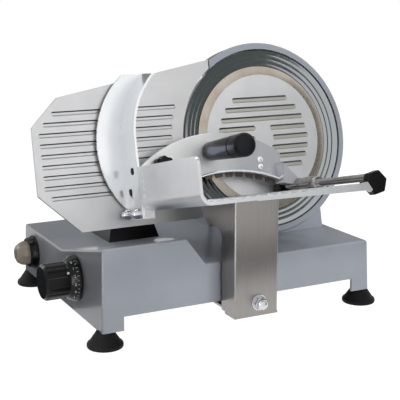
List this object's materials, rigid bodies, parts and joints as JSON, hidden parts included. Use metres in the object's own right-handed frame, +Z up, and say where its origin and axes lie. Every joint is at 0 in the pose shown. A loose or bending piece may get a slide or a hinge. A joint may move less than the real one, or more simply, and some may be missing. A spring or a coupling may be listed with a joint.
{
  "type": "deli meat slicer",
  "caption": "Countertop deli slicer with a leaning ring-guarded blade, a grooved thickness plate set by a dial, and a tray sliding on an arm with a hinged pusher.",
  "frame": {"origin": "under the middle of the object's box, on the table the feet stand on", "axes": "+X along the base to the user's right, +Y away from the user, +Z up"},
  "size_m": [0.481, 0.443, 0.3575],
  "materials": {
    "painted_casting": "grey gloss enamel",
    "satin_aluminium": "satin anodised",
    "polished_aluminium": "polished",
    "stainless_sheet": "brushed",
    "polished_blade_steel": "mirror ground",
    "chromed_steel": "bright",
    "plain_steel": "plain",
    "bronze": "turned",
    "black_rubber": "matt",
    "black_plastic": "fine grain",
    "clear_cap": "clear moulded",
    "circuit_board": "lacquered"
  },
  "bodies": {
    "base": {"base_housing": "painted_casting", "bottom_cover": "plain_steel", "rubber_feet": "black_rubber", "foot_screws": "plain_steel", "blade_housing": "painted_casting", "housing_screws": "plain_steel", "blade_bearings": "plain_steel", "motor_plate": "plain_steel", "motor_body": "plain_steel", "motor_cover": "painted_casting", "drive_belt": "black_rubber", "run_capacitor": "satin_aluminium", "power_board": "circuit_board", "blade_cover": "satin_aluminium", "gauge_boot": "black_rubber", "gauge_guide_bar": "chromed_steel", "gauge_bar_blocks": "satin_aluminium", "dial_bush": "bronze", "switch_bezel": "black_plastic", "switch_body": "black_plastic", "cable_gland": "black_plastic", "carriage_guide_bar": "chromed_steel", "carriage_support_bar": "chromed_steel"},
    "blade_spindle": {"slicing_blade": "polished_blade_steel", "blade_shaft": "plain_steel", "blade_pulley": "satin_aluminium", "blade_screws": "plain_steel"},
    "motor_rotor": {"motor_shaft": "plain_steel", "motor_pulley": "satin_aluminium"},
    "cover_tie": {"cover_tie_rod": "chromed_steel", "tie_rod_knob": "black_plastic"},
    "gauge": {"gauge_plate": "satin_aluminium", "gauge_bracket": "satin_aluminium", "gauge_screws": "plain_steel"},
    "dial": {"thickness_knob": "black_plastic", "dial_shaft": "plain_steel", "dial_cam": "bronze"},
    "switch": {"switch_button": "clear_cap"},
    "carriage": {"carriage_arm": "stainless_sheet", "slider_foot": "stainless_sheet", "carriage_slider": "satin_aluminium", "slider_bushes": "bronze", "arm_nut": "chromed_steel", "product_tray": "satin_aluminium", "hand_guard": "polished_aluminium", "guard_screws": "chromed_steel", "pusher_rod": "chromed_steel", "rod_rear_support": "black_plastic", "rod_end_block": "black_plastic"},
    "pusher_sleeve": {"hub_sleeve": "chromed_steel"},
    "pusher": {"pusher_hub": "chromed_steel", "pusher_plate": "satin_aluminium", "pusher_comb": "stainless_sheet", "pusher_grip": "black_plastic", "grip_stud": "plain_steel", "pusher_screws": "chromed_steel", "comb_knob": "black_plastic"}
  },
  "joints": [
    {"name": "blade_spin", "type": "hinge", "parent": "base", "child": "blade_spindle", "pos_m": [0.1045, 0.01747, 0.225], "axis": [0, -0.9715, 0.2368], "continuous": true},
    {"name": "motor_spin", "type": "hinge", "parent": "base", "child": "motor_rotor", "pos_m": [0.1045, 0.05326, 0.11849], "axis": [0, -0.9715, 0.2368], "continuous": true},
    {"name": "cover_knob_turn", "type": "hinge", "parent": "base", "child": "cover_tie", "pos_m": [0.1045, 0.0952, 0.20605], "axis": [0, -0.9715, 0.2368], "continuous": true},
    {"name": "gauge_slide", "type": "slide", "parent": "base", "child": "gauge", "axis": [0, 0.9715, -0.2368], "range_m": [0, 0.015]},
    {"name": "dial_turn", "type": "hinge", "parent": "base", "child": "dial", "pos_m": [-0.1925, -0.01153, 0.067], "axis": [-1, 0, 0], "range_deg": [0, 330]},
    {"name": "switch_press", "type": "slide", "parent": "base", "child": "switch", "axis": [1, 0, 0], "range_m": [0, 0.0035], "stiffness_N_per_m": 400},
    {"name": "carriage_slide", "type": "slide", "parent": "base", "child": "carriage", "axis": [1, 0, 0], "range_m": [-0.115, 0.115]},
    {"name": "pusher_slide", "type": "slide", "parent": "carriage", "child": "pusher_sleeve", "axis": [0, -0.9715, 0.2368], "range_m": [0, 0.095]},
    {"name": "pusher_lift", "type": "hinge", "parent": "pusher_sleeve", "child": "pusher", "pos_m": [0.1235, -0.05787, 0.16926], "axis": [0, 0.9715, -0.2368], "range_deg": [0, 110]}
  ],
  "couplings": [
    {"joint": "motor_spin", "follows": "blade_spin", "ratio": 2},
    {"joint": "dial_turn", "follows": "gauge_slide", "rad_per_m": 383.9}
  ]
}
